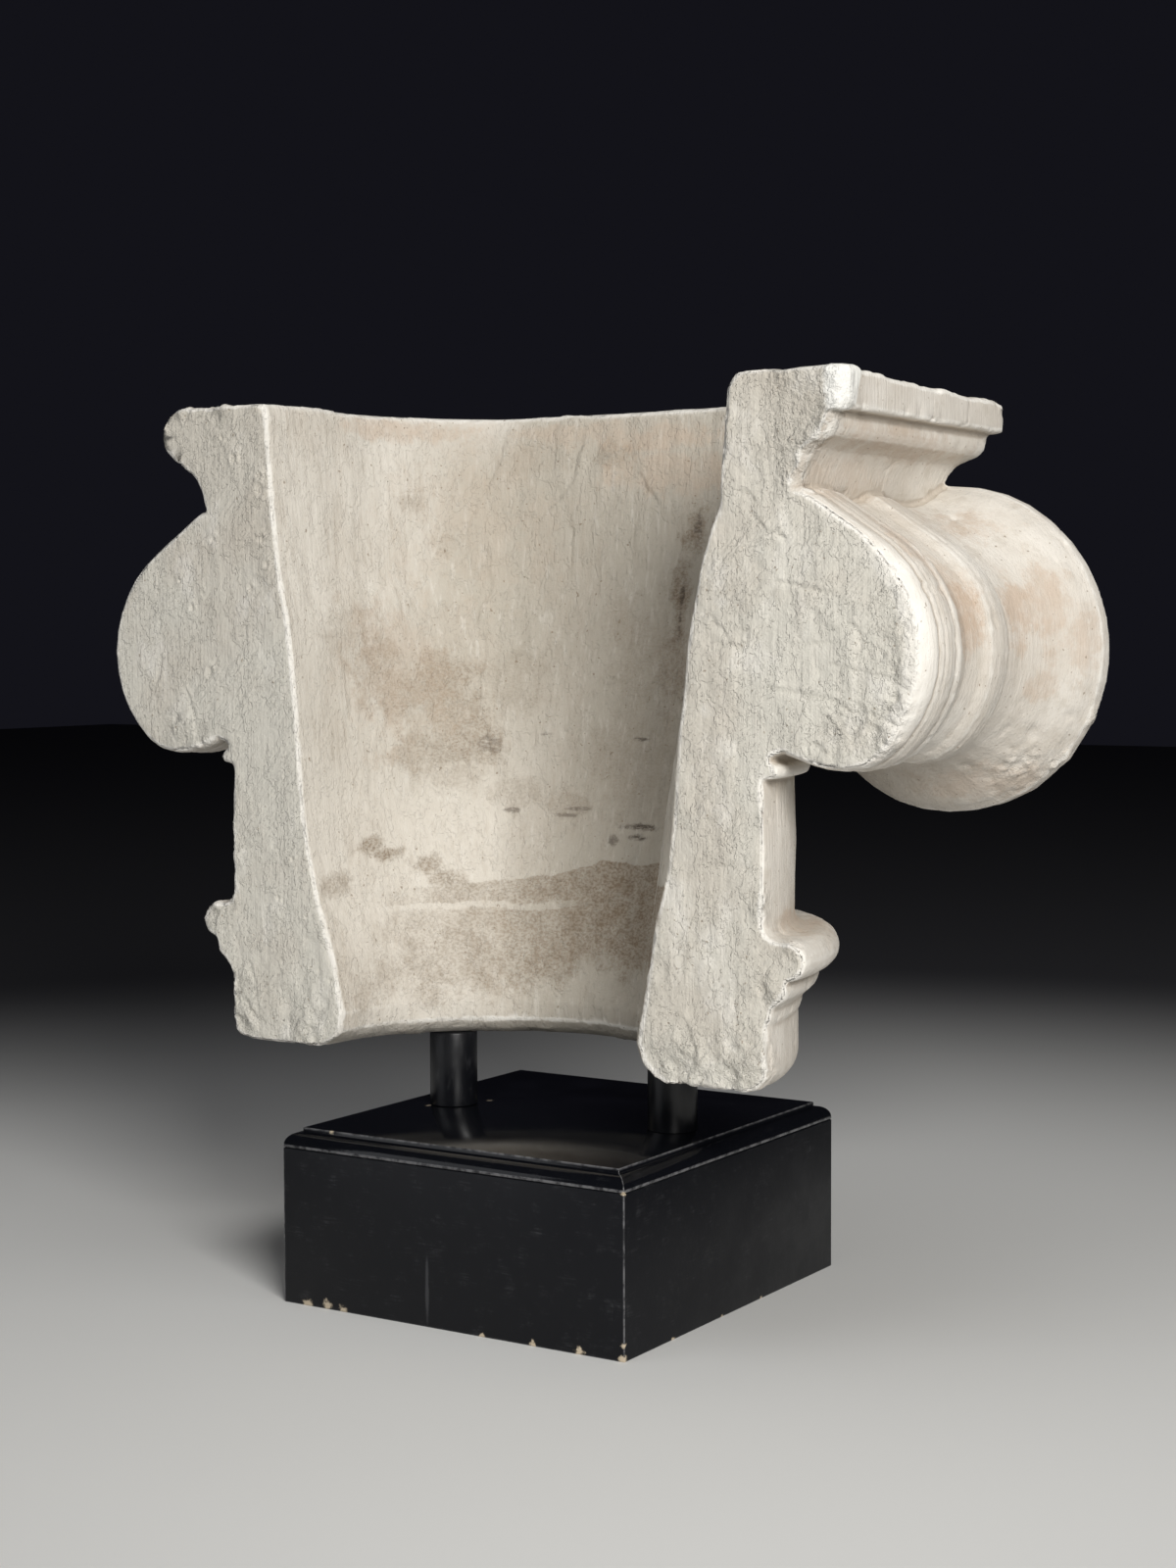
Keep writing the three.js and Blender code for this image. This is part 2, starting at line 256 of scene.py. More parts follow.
def add_camera():
    camera = bpy.data.cameras.new("camera")
    camera.sensor_fit = "HORIZONTAL"
    camera.sensor_width = CAMERA_SENSOR
    camera.lens = CAMERA_LENS
    level = math.cos(CAMERA_PITCH)
    forward = Vector((
        math.sin(CAMERA_HEADING) * level,
        -math.cos(CAMERA_HEADING) * level,
        math.sin(CAMERA_PITCH),
    ))
    side = forward.cross(Vector((0, 0, 1))).normalized()
    up = side.cross(forward)
    right = side * math.cos(CAMERA_ROLL) + up * math.sin(CAMERA_ROLL)
    up = up * math.cos(CAMERA_ROLL) - side * math.sin(CAMERA_ROLL)
    turn = Matrix((right, up, -forward)).transposed().to_4x4()
    holder = bpy.data.objects.new("camera", camera)
    holder.matrix_world = Matrix.Translation(CAMERA_PLACE) @ turn
    bpy.context.scene.collection.objects.link(holder)
    bpy.context.scene.camera = holder


def add_floor():
    """A plain floor, pale round the plinth, its colour darkened outwards as a painted falloff of the light into the
    dark studio.
    """
    half = 9.0
    mesh = bpy.data.meshes.new("floor")
    corners = [(-half, -half, 0), (half, -half, 0), (half, half, 0), (-half, half, 0)]
    mesh.from_pydata(corners, [], [(0, 1, 2, 3)])
    floor = bpy.data.objects.new("floor", mesh)
    bpy.context.scene.collection.objects.link(floor)
    n = Nodes("pale_floor")
    away = n.vector("LENGTH", n.place, output="Value")
    # painted shade: the floor's colour fades to dark with distance, in place of the light falling off
    colour = n.blend(n.ramp(away, PALE_REACH, PAINTED_FALLOFF_REACH), PALE_FLOOR, PAINTED_FALLOFF_FLOOR)
    n.tree.links.new(colour, n.shader.inputs["Base Color"])
    n.shader.inputs["Roughness"].default_value = 0.75
    mesh.materials.append(n.material)


def add_softbox(name, place, aim, width, height, power, colour):
    light = bpy.data.lights.new(name, "AREA")
    light.shape = "RECTANGLE"
    light.size = width
    light.size_y = height
    light.energy = power
    light.color = colour
    holder = bpy.data.objects.new(name, light)
    holder.location = place
    holder.rotation_euler = (Vector(aim) - Vector(place)).to_track_quat("-Z", "Y").to_euler()
    bpy.context.scene.collection.objects.link(holder)


def add_lights():
    aim = (0, 0, 0.4)
    add_softbox("key", (-2.3, 2.0, 1.6), aim, 1.2, 1.2, 112, (1.0, 0.985, 0.96))
    add_softbox("fill", (1.8, 2.6, 0.9), aim, 2.0, 1.6, 15, (0.95, 0.97, 1.0))
    add_softbox("top", (-0.4, 0.6, 3.2), aim, 2.0, 2.0, 16, (1.0, 1.0, 1.0))
    world = bpy.data.worlds.new("studio")
    world.use_nodes = True
    background = world.node_tree.nodes["Background"]
    background.inputs["Color"].default_value = (0.0065, 0.0065, 0.0095, 1)
    background.inputs["Strength"].default_value = 1.0
    bpy.context.scene.world = world
    bpy.context.scene.view_settings.view_transform = "Standard"


# ------------------------------------------------------------------ noise on arrays of points

HASH_STEPS = (73856093, 19349663, 83492791)


def lump_noise(points, seed):
    """Smooth noise from -1 to 1, with about one lump to each unit of length."""
    cell = np.floor(points).astype(np.int64)
    part = points - cell
    part = part ** 3 * (part * (part * 6 - 15) + 10)
    total = np.zeros(len(points))
    for corner in itertools.product((0, 1), repeat=3):
        at = cell + corner
        mixed = seed * 2654435761
        for axis in range(3):
            mixed = mixed ^ (at[:, axis] * HASH_STEPS[axis])
        mixed = (mixed & 0xFFFFFFFF) * 2246822519 & 0xFFFFFFFF
        mixed = (mixed ^ (mixed >> 15)) * 3266489917 & 0xFFFFFFFF
        value = ((mixed ^ (mixed >> 13)) & 0xFFFF) / 32767.5 - 1
        total += value * np.prod(np.where(corner, part, 1 - part), axis=1)
    return total


def rough_noise(points, size, layers, seed):
    """Layers of noise, each half the size and half the height of the last; size in metres."""
    total = np.zeros(len(points))
    height = 1.0
    for layer in range(layers):
        total += height * lump_noise(points / size, seed + layer)
        size /= 2
        height /= 2
    return total


def ramp(value, low, high):
    """0 below low, 1 above high, smooth between; low may be the larger."""
    t = np.clip((value - low) / (high - low), 0, 1)
    return t * t * (3 - 2 * t)


# ------------------------------------------------------------------ the capital's surface


class Surface:
    """The vertices of a dense mesh, in arrays, with the places and masks that marks need."""

    def __init__(self, mesh):
        count = len(mesh.vertices)
        self.points = np.empty(count * 3, np.float32)
        mesh.vertices.foreach_get("co", self.points)
        self.points = self.points.reshape(-1, 3).astype(float)
        self.normals = np.empty(count * 3, np.float32)
        mesh.vertex_normals.foreach_get("vector", self.normals)
        self.normals = self.normals.reshape(-1, 3).astype(float)
        edges = np.empty(len(mesh.edges) * 2, np.int32)
        mesh.edges.foreach_get("vertices", edges)
        self.edges = edges.reshape(-1, 2)
        self.degree = np.bincount(self.edges.ravel(), minlength=count)
        self.x = (self.points[:, 0] - MIDDLE_X) / MM
        self.d = (CUT_Y - self.points[:, 1]) / MM
        self.z = self.points[:, 2] / MM
        facing_back = ramp(self.normals[:, 1], 0.72, 0.93)
        self.cut = facing_back * ramp(self.d, 7, 4)
        inwards = -self.normals[:, 0] * self.x + self.normals[:, 1] * (self.d + 12)
        inwards = inwards / np.hypot(self.x, self.d + 12)
        within = ramp(np.hypot(self.x / 1.02, self.d), 252, 240)
        self.hollow = ramp(inwards, 0.15, 0.45) * within * (1 - self.cut)
        self.outer = np.clip(1 - self.cut - self.hollow, 0, 1)

    def spread(self, values, steps):
        """Values averaged over neighbouring vertices, steps times."""
        result = values
        first, second = self.edges.T
        for _ in range(steps):
            total = np.zeros_like(result)
            for axis in range(result.shape[1]):
                total[:, axis] = np.bincount(first, result[second, axis], len(result))
                total[:, axis] += np.bincount(second, result[first, axis], len(result))
            result = total / self.degree[:, None]
        return result

    def push(self, height):
        """Moves every vertex along its normal by height, in millimetres."""
        self.points += self.normals * (height * MM)[:, None]

    def near(self, x, d, z, reach):
        """1 at a place on the capital, fading to 0 at reach millimetres."""
        distance = np.sqrt((self.x - x) ** 2 + (self.d - d) ** 2 + (self.z - z) ** 2)
        return ramp(distance, reach, 0)


def line_distance(x, z, run):
    """Distance in the XZ plane from each point to a run of straight stretches, and its side."""
    best = np.full(len(x), 1e9)
    side = np.zeros(len(x))
    for (ax, az), (bx, bz) in zip(run, run[1:]):
        along_x, along_z = bx - ax, bz - az
        length = math.hypot(along_x, along_z)
        t = np.clip(((x - ax) * along_x + (z - az) * along_z) / length ** 2, 0, 1)
        off_x = x - ax - t * along_x
        off_z = z - az - t * along_z
        distance = np.hypot(off_x, off_z)
        closer = distance < best
        best = np.where(closer, distance, best)
        side = np.where(closer, np.sign(off_x * along_z - off_z * along_x), side)
    return best, side


def wear_arrises(s):
    """Rounds every sharp edge, unevenly, and returns how far each point stood out."""
    smoothed = s.spread(s.points, 6)
    standing = np.einsum("ij,ij->i", s.points - smoothed, s.normals) / MM
    uneven = 0.55 + 0.5 * rough_noise(s.points, 0.022, 3, SEED)
    amount = np.clip(uneven, 0.1, 1.0) * ramp(standing, 0.05, 0.5)
    s.points += (smoothed - s.points) * amount[:, None]
    chips = ramp(rough_noise(s.points, 0.016, 3, SEED + 5), 0.42, 0.85)
    s.push(-2.2 * chips * ramp(standing, 0.35, 0.9))
    return standing


def round_left_nose(s):
    """At the cut on the +X side the fascia and its soffit are worn to one round nose."""
    off_x = s.x - NOSE_X
    off_z = s.z - NOSE_Z
    radius = np.hypot(off_x, off_z) + 1e-6
    angle = np.degrees(np.arctan2(off_z, off_x))
    weight = ramp(s.d, 46, 20) * ramp(np.abs(angle + 5), 88, 66) * ramp(radius, 40, 32)
    weight *= ramp(radius, 5, 9)
    change = (NOSE_RADIUS - radius) * weight
    s.points[:, 0] += change * off_x / radius * MM
    s.points[:, 2] += change * off_z / radius * MM


def break_right_moulding(s):
    """On the -X side the abacus's edge at the cut has broken back in a ragged chamfer."""
    ragged = 1 + 0.45 * rough_noise(s.points, 0.014, 3, SEED + 12)
    reach = ramp(s.x, -238, -252) * ramp(s.z, 584, 600)
    s.points[:, 0] += 6 * reach * ragged * ramp(s.d, 9, -3) * MM
    return reach


def wear_bolster_edge(s):
    """The -X bolster's edge at the cut is worn back to a pale chamfer."""
    off_x = -(s.x + BOLSTER_X)
    off_z = s.z - BOLSTER_Z
    angle = np.degrees(np.arctan2(off_z, off_x))
    window = ramp(angle, -62, -25) * ramp(angle, 68, 38)
    window *= ramp(s.x, -BOLSTER_X + 40, -BOLSTER_X)
    radius = np.hypot(off_x, off_z) + 1e-6
    outside = ramp(radius, 70, 80)
    fall = 5.0 * ramp(s.d, 16, -6) * window * outside
    s.points[:, 0] += off_x / radius * fall * MM
    s.points[:, 2] -= off_z / radius * fall * MM
    return window * outside


def groove_bolsters(s):
    """Fine reeds round each bolster's band and ridge."""
    reeds = [(26, 0.9), (32, 0.6), (39, 0.6), (47, 0.8), (107, 0.5), (113, 0.7)]
    reeds += [(120, 0.6), (127, 0.8), (134, 0.6), (218, 0.7)]
    radius = np.hypot(np.abs(s.x) - BOLSTER_X, s.z - BOLSTER_Z)
    on_bolster = s.outer * ramp(radius, 130, 124) * ramp(np.abs(s.x), 180, 215)
    wobble = 0.9 * rough_noise(s.points, 0.045, 2, SEED + 20)
    worn = np.clip(0.75 + 0.6 * rough_noise(s.points, 0.03, 2, SEED + 24), 0.1, 1.1)
    for place, depth in reeds:
        line = np.exp(-((s.d + wobble - place) / 1.7) ** 2)
        s.push(-depth * line * on_bolster * worn)


def chip_abacus(s):
    """The abacus's top edge on the -X side has broken away in shallow steps."""
    along = np.stack([s.d / 26, s.x * 0, s.x * 0], axis=1)
    steps = np.round(3 * lump_noise(along, SEED + 30)) / 3
    ragged = 0.6 * rough_noise(s.points, 0.01, 3, SEED + 31)
    drop = (1.5 + 0.018 * s.d + 1.6 * steps + ragged) * ramp(s.d, 16, 30)
    near_edge = ramp(s.x, -FASCIA_X + 40, -FASCIA_X + 8)
    near_top = ramp(s.z, TOP_Z / MM - 12, TOP_Z / MM - 3)
    s.points[:, 2] -= np.clip(drop, 0, 8) * near_edge * near_top * s.outer * MM
    break_line = np.exp(-((s.d - 197 - 0.1 * (s.z - 660)) / 1.6) ** 2)
    on_fascia = ramp(s.x, -FASCIA_X + 8, -FASCIA_X + 2) * ramp(s.z, 640, 646) * s.outer
    s.push(-0.9 * break_line * on_fascia)
    beyond = ramp(s.d, 196, 200) * on_fascia
    s.push(-0.7 * beyond)


def crumble(s):
    """Torn, crusty patches."""
    crust = np.zeros(len(s.x))
    for x, d, z, reach, depth in CRUSTS:
        crust = np.maximum(crust, depth * s.near(x, d, z, reach * 1.5))
    lumps = rough_noise(s.points, 0.0075, 3, SEED + 40)
    s.push(crust * (0.9 * lumps - 0.25 + 0.5 * np.sign(lumps) * np.abs(lumps) ** 0.5))
    return crust


def trowel_cut_faces(s):
    """Drawn strokes, thin-edged smears and pits over the flat cut."""
    along = (s.x - s.z) * 0.7071
    across = (s.x + s.z) * 0.7071
    zero = s.x * 0
    strokes = rough_noise(np.stack([across / 3.2, along / 46, zero + s.x / 300], axis=1), 1, 2, SEED + 50)
    where = ramp(rough_noise(s.points, 0.06, 2, SEED + 52), -0.1, 0.6)
    height = 0.26 * strokes * where
    upright = rough_noise(np.stack([s.x / 4.5, zero, s.z / 42], axis=1), 1, 3, SEED + 54)
    height += 0.26 * upright * (1 - 0.6 * where)
    smear = rough_noise(s.points * (1, 1, 0.6), 0.018, 4, SEED + 56)
    height += 0.42 * (ramp(smear, 0.1, 0.22) + ramp(smear, 0.5, 0.58) - 0.6)
    height += 0.5 * rough_noise(s.points, 0.055, 2, SEED + 58)
    foot = ramp(s.z, 330, 200)
    height += foot * 0.55 * rough_noise(s.points * (1.0, 1.0, 0.6), 0.012, 3, SEED + 60)
    pits = ramp(rough_noise(s.points, 0.006, 1, SEED + 62), 0.72, 0.92)
    height -= 1.1 * pits * ramp(rough_noise(s.points, 0.05, 1, SEED + 63), -0.1, 0.5)
    calm = 0.55 * ramp(s.x, 0, 20) * ramp(s.z, 290, 340)
    s.push(height * s.cut * (1 - calm))


def mark_cut_faces(s):
    for x, z, radius in BUBBLES:
        distance = np.hypot((s.x - x), (s.z - z) * 0.8)
        bowl = ramp(distance, radius, radius * 0.4)
        rim = np.exp(-((distance - radius) / 1.1) ** 2)
        s.push((0.9 * rim - 0.9 * bowl) * s.cut)
    wander = 0.5 * rough_noise(s.points, 0.012, 2, SEED + 70)
    for run in SCRATCHES:
        distance, side = line_distance(s.x + wander, s.z + wander, run)
        furrow = np.exp(-(distance / 1.2) ** 2)
        lip = np.exp(-((distance - 2.6) / 1.4) ** 2) * (side > 0)
        s.push((0.5 * lip - 0.95 * furrow) * s.cut)


def brush_hollow(s):
    """Upright brush marks, laps in the pour and loose grain on the hollow's wall."""
    ring = np.stack([s.points[:, 0], s.points[:, 1], s.points[:, 2] * 0.07], axis=1)
    height = 0.34 * rough_noise(ring, 0.0075, 2, SEED + 80)
    height += 1.0 * rough_noise(s.points * (1, 1, 0.6), 0.07, 2, SEED + 82)
    height += 0.35 * rough_noise(s.points, 0.02, 3, SEED + 84)
    lap = rough_noise(s.points * (1, 1, 0.45), 0.05, 4, SEED + 86)
    height += 0.6 * ramp(lap, 0.05, 0.16) + 0.5 * ramp(lap, 0.45, 0.53)
    grain = ramp(s.z, 330, 296) * ramp(s.z, 205, 222)
    height += 0.34 * grain * rough_noise(s.points, 0.0052, 2, SEED + 88)
    wander = 2.0 * rough_noise(s.points, 0.02, 2, SEED + 90)
    on_back = ramp(s.d, 90, 120)
    for run in FOLDS:
        distance, side = line_distance(s.x + wander, s.z, run)
        height += on_back * (1.3 * np.exp(-distance / 9) * (side > 0) - 0.8 * np.exp(-(distance / 1.8) ** 2))
    s.push(height * s.hollow)


def weather_outside(s):
    """The moulded side is smooth, with slight unevenness and dents."""
    height = 0.45 * rough_noise(s.points, 0.06, 2, SEED + 100)
    height += 0.14 * rough_noise(s.points, 0.012, 3, SEED + 102)
    dents = ramp(rough_noise(s.points, 0.011, 2, SEED + 104), 0.75, 1.05)
    height -= 0.8 * dents
    s.push(height * s.outer)


def repair_patch(s):
    """A smear of fresh plaster just behind the cut on the -X fascia."""
    slant = s.d - 0.35 * (s.z - 640)
    patch = ramp(s.x, -FASCIA_X + 12, -FASCIA_X + 8) * ramp(slant, 13, 11) * ramp(s.z, 643, 645)
    s.push(0.5 * patch * s.outer)
    return patch


def new_mesh(name, source, build):
    """A new object with a copy of source's mesh, changed by build(bmesh)."""
    mesh = source.data.copy()
    mesh.name = name
    mesh.materials.clear()
    edit = bmesh.new()
    edit.from_mesh(mesh)
    bmesh.ops.remove_doubles(edit, verts=edit.verts, dist=0.02 * MM)
    build(edit)
    edit.to_mesh(mesh)
    edit.free()
    piece = bpy.data.objects.new(name, mesh)
    bpy.context.scene.collection.objects.link(piece)
    return piece


def apply_modifier(piece, kind, **settings):
    modifier = piece.modifiers.new(kind.lower(), kind)
    for key, value in settings.items():
        setattr(modifier, key, value)
    evaluated = piece.evaluated_get(bpy.context.evaluated_depsgraph_get())
    mesh = bpy.data.meshes.new_from_object(evaluated)
    piece.modifiers.clear()
    old = piece.data
    piece.data = mesh
    bpy.data.meshes.remove(old)


def write_values(mesh, name, values):
    layer = mesh.attributes.new(name, "FLOAT", "POINT")
    layer.data.foreach_set("value", values.astype(np.float32))


def build_capital():
    piece = new_mesh("capital_cast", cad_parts["capital"], lambda edit: None)
    voxel = VOXEL
    apply_modifier(piece, "REMESH", mode="VOXEL", voxel_size=voxel, adaptivity=0)
    surface = Surface(piece.data)
    round_left_nose(surface)
    broken = break_right_moulding(surface)
    standing = wear_arrises(surface)
    chamfer = wear_bolster_edge(surface)
    groove_bolsters(surface)
    chip_abacus(surface)
    repair = repair_patch(surface)
    trowel_cut_faces(surface)
    mark_cut_faces(surface)
    brush_hollow(surface)
    weather_outside(surface)
    crust = crumble(surface) + 1.5 * broken * ramp(surface.d, 13, 8)
    surface.points[:, 1] = np.minimum(surface.points[:, 1], CUT_Y + 1.5 * MM)
    piece.data.vertices.foreach_set("co", surface.points.astype(np.float32).ravel())
    piece.data.update()

    dense = KDTree(len(surface.points))
    for i, point in enumerate(surface.points):
        dense.insert(point, i)
    dense.balance()
    triangles = 2 * len(piece.data.polygons)
    ratio = min(1.0, MOST_TRIANGLES / triangles)
    apply_modifier(piece, "DECIMATE", decimate_type="COLLAPSE", ratio=ratio)
    kept = [dense.find(vertex.co)[1] for vertex in piece.data.vertices]
    write_values(piece.data, "cut", surface.cut[kept])
    write_values(piece.data, "hollow", surface.hollow[kept])
    write_values(piece.data, "repair", repair[kept])
    tide_x, tide_z = np.array(sorted(TIDE)).T
    below_tide = np.interp(surface.x, tide_x, tide_z) - surface.z
    write_values(piece.data, "tide", below_tide[kept])
    write_values(piece.data, "standing", standing[kept])
    write_values(piece.data, "chamfer", (chamfer * ramp(surface.d, 24, 8))[kept])
    write_values(piece.data, "crust", crust[kept])
    piece.data.shade_smooth()
    piece.data.materials.append(plaster_material())
    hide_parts("capital")
    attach(piece, "root")


# ------------------------------------------------------------------ shader nodes


class Nodes:
    """Short calls that add nodes to one material. Every call returns an output socket."""

    def __init__(self, name):
        self.material = bpy.data.materials.new(name)
        self.material.use_nodes = True
        self.tree = self.material.node_tree
        self.shader = self.tree.nodes["Principled BSDF"]
        self.place = self.tree.nodes.new("ShaderNodeTexCoord").outputs["Object"]

    def add(self, kind, inputs, output=0, **settings):
        node = self.tree.nodes.new(kind)
        for key, value in settings.items():
            setattr(node, key, value)
        for key, value in inputs.items():
            if isinstance(value, bpy.types.NodeSocket):
                self.tree.links.new(value, node.inputs[key])
            else:
                node.inputs[key].default_value = value
        return node.outputs[output]

    def math(self, operation, *values):
        return self.add("ShaderNodeMath", dict(enumerate(values)), operation=operation)

    def vector(self, operation, *values, output=0):
        return self.add("ShaderNodeVectorMath", dict(enumerate(values)), output, operation=operation)

    def value(self, name):
        return self.add("ShaderNodeAttribute", {}, "Fac", attribute_name=name)

    def noise(self, size, detail=3.0, roughness=0.55, stretch=(1, 1, 1), shift=0.0, turn=0.0):
        """Noise from 0 to 1 whose lumps are size metres, times stretch along each axis.
        turn tips the stretched lumps about the Y axis, in degrees."""
        scale = [1 / (size * s) for s in stretch]
        place = self.place
        if turn:
            inputs = {"Vector": place, "Angle": math.radians(turn)}
            place = self.add("ShaderNodeVectorRotate", inputs, rotation_type="Y_AXIS")
        place = self.vector("MULTIPLY", place, scale)
        place = self.vector("ADD", place, (shift, shift * 0.7, -shift))
        inputs = {"Vector": place, "Scale": 1.0, "Detail": detail, "Roughness": roughness}
        return self.add("ShaderNodeTexNoise", inputs, "Fac")

    def ramp(self, value, low, high, to_low=0.0, to_high=1.0):
        inputs = {0: value, 1: low, 2: high, 3: to_low, 4: to_high}
        return self.add("ShaderNodeMapRange", inputs, interpolation_type="SMOOTHSTEP", clamp=True)

    def blend(self, amount, first, second, mode="MIX"):
        inputs = {0: amount, 6: first, 7: second}
        return self.add("ShaderNodeMix", inputs, 2, data_type="RGBA", blend_type=mode)

    def blob(self, centre, reach, warp, amount):
        """amount inside an ellipsoid, fading out past it, its edge moved by warp."""
        offset = self.vector("SUBTRACT", self.place, centre)
        offset = self.vector("DIVIDE", offset, reach)
        distance = self.vector("LENGTH", offset, output="Value")
        distance = self.math("ADD", distance, warp)
        return self.ramp(distance, 1.4, 0.5, 0.0, amount)

    def band(self, value, middle, half):
        """1 where value is within half of middle, fading out over as much again."""
        off = self.math("ABSOLUTE", self.math("SUBTRACT", value, middle))
        return self.ramp(off, 2 * half, half)

    def times(self, *values):
        result = values[0]
        for value in values[1:]:
            result = self.math("MULTIPLY", result, value)
        return result

    def largest(self, values):
        result = values[0]
        for value in values[1:]:
            result = self.math("MAXIMUM", result, value)
        return result

    def bump(self, height, depth, normal=None):
        inputs = {"Height": height, "Distance": depth, "Strength": 1.0}
        if normal is not None:
            inputs["Normal"] = normal
        return self.add("ShaderNodeBump", inputs)

    def finish(self, colour, roughness, normal):
        self.tree.links.new(colour, self.shader.inputs["Base Color"])
        self.tree.links.new(roughness, self.shader.inputs["Roughness"])
        self.tree.links.new(normal, self.shader.inputs["Normal"])
        return self.material


def on_capital(x, d, z):
    """A place on the capital, given in its millimetres, in the frame's metres."""
    return (MIDDLE_X + x * MM, CUT_Y - d * MM, z * MM)


def blobs(n, table, warp):
    made = []
    for x, d, z, across, deep, high, strength in table:
        reach = (across * MM, deep * MM, high * MM)
        made.append(n.blob(on_capital(x, d, z), reach, warp, strength))
    return n.largest(made)


GREY_PLASTER = (0.635, 0.61, 0.54, 1)
WARM_GREY = (0.535, 0.48, 0.405, 1)
CREAM = (0.68, 0.635, 0.56, 1)
# A duller cream for the upper hollow and for painted shade on its -X side, and a paler cream that is painted light on
# the +X wall.
DULL_AND_SHADED_CREAM = (0.49, 0.45, 0.38, 1)
PAINTED_LIGHT_CREAM = (0.72, 0.68, 0.61, 1)
OUTER_CREAM = (0.63, 0.58, 0.51, 1)
WHITE = (0.82, 0.79, 0.73, 1)
PINKISH = (0.52, 0.40, 0.30, 1)
BROWN = (0.25, 0.19, 0.13, 1)
DARK_BROWN = (0.08, 0.058, 0.042, 1)
DUST = (0.42, 0.36, 0.29, 1)
FRESH = (0.88, 0.87, 0.82, 1)


def cut_colour(n, height, cloud):
    """Cool grey, warmer in clouds and towards the top, with faint upright streaks."""
    warm = n.math("ADD", n.ramp(cloud, 0.4, 0.7, 0.0, 0.5), n.ramp(height, 0.52, 0.66, 0.0, 0.4))
    face = n.blend(warm, GREY_PLASTER, WARM_GREY)
    streak = n.noise(0.008, 3.0, 0.6, stretch=(1, 1, 7), shift=11.0)
    face = n.blend(n.ramp(streak, 0.5, 0.75, 0.0, 0.35), face, CREAM)
    pale = n.noise(0.03, 4.0, 0.65, stretch=(1, 1, 1.5), shift=12.0)
    return n.blend(n.ramp(pale, 0.52, 0.72, 0.0, 0.5), face, WHITE)


def hollow_colour(n, side, height, cloud):
    """Greyish cream, duller upwards, with painted shade over the -X side of the back wall, where the -X block shades
    it, and painted light on the +X wall, which faces the key lamp, in faint broken upright streaks.
    """
    brush = n.noise(0.004, 4.0, 0.65, stretch=(1, 1, 10), shift=5.0)
    patch = n.noise(0.05, 5.0, 0.62, stretch=(1, 1, 1.6), shift=6.0)
    # Duller higher up, and painted shade towards the -X side of the back wall, where the -X block shades it.
    dull_and_shaded = n.math("MAXIMUM", n.ramp(height, 0.3, 0.5), n.ramp(side, 0.12, 0.02, 0.0, 1.0))
    wall = n.blend(dull_and_shaded, CREAM, DULL_AND_SHADED_CREAM)
    # painted light: the +X wall, which faces the key lamp, is made paler
    wall = n.blend(n.ramp(side, 0.14, 0.185, 0.0, 0.8), wall, PAINTED_LIGHT_CREAM)
    wall = n.blend(n.ramp(patch, 0.46, 0.72, 0.0, 0.45), wall, WARM_GREY)
    worn = n.times(n.ramp(brush, 0.5, 0.68), n.ramp(patch, 0.36, 0.6), 0.35)
    wall = n.blend(worn, wall, DUST)
    bright = n.times(n.ramp(brush, 0.47, 0.3), n.ramp(cloud, 0.3, 0.6), 0.3)
    return n.blend(bright, wall, WHITE)


def outside_colour(n, cloud, mottle):
    skin = n.blend(n.ramp(cloud, 0.38, 0.66, 0.0, 0.5), OUTER_CREAM, WHITE)
    return n.blend(n.ramp(mottle, 0.48, 0.68, 0.0, 0.5), skin, WARM_GREY)


def tide_stain(n, side, warp):
    """Damp has browned the foot of the back wall up to a wavy line."""
    grain = n.math("MULTIPLY", warp, 2.0)
    below = n.ramp(n.math("ADD", n.value("tide"), grain), -0.7, 0.7)
    drop = n.math("ADD", n.value("tide"), n.math("MULTIPLY", warp, 26.0))
    foot = n.ramp(drop, 94, 66)
    sides = n.ramp(n.math("ADD", side, n.math("MULTIPLY", warp, 0.02)), 0.15, 0.105)
    stain = n.times(below, foot, sides, n.ramp(side, 0.1, -0.03, 0.6, 1.0))
    level = n.math("ADD", n.value("tide"), n.math("MULTIPLY", side, 120))
    streak = n.math("ADD", level, n.math("MULTIPLY", warp, 3.0))
    swept = n.times(n.band(streak, 29.5, 1.6), n.ramp(side, 0.0, 0.04, 0.0, 0.85))
    return n.times(stain, n.math("SUBTRACT", 1.0, swept))


def stained(n, colour, side, hollow):
    warp = n.ramp(n.noise(0.03, 7.0, 0.78, shift=13.0), 0.2, 0.8, -0.9, 0.9)
    stain = n.largest([blobs(n, STAINS, warp), tide_stain(n, side, warp)])
    sand = n.noise(0.0019, 2.0, 0.6, stretch=(1.3, 1.3, 0.9), shift=17.0)
    blotch = n.noise(0.012, 3.0, 0.6, shift=18.0)
    speckle = n.math("ADD", n.ramp(sand, 0.42, 0.62, 0.4, 0.85), n.ramp(blotch, 0.3, 0.7, -0.12, 0.25))
    colour = n.blend(n.times(stain, speckle, hollow), colour, BROWN)
    broken = n.ramp(n.noise(0.004, 3.0, 0.7, (2.5, 2.5, 0.7), 19.0), 0.34, 0.56)
    colour = n.blend(n.times(blobs(n, SMEARS, warp), hollow, broken), colour, DARK_BROWN)
    dirt = n.times(blobs(n, TINTS, warp), n.ramp(blotch, 0.3, 0.6, 0.55, 1.0))
    return n.blend(n.times(dirt, n.math("SUBTRACT", 1.0, n.value("cut"))), colour, PINKISH)


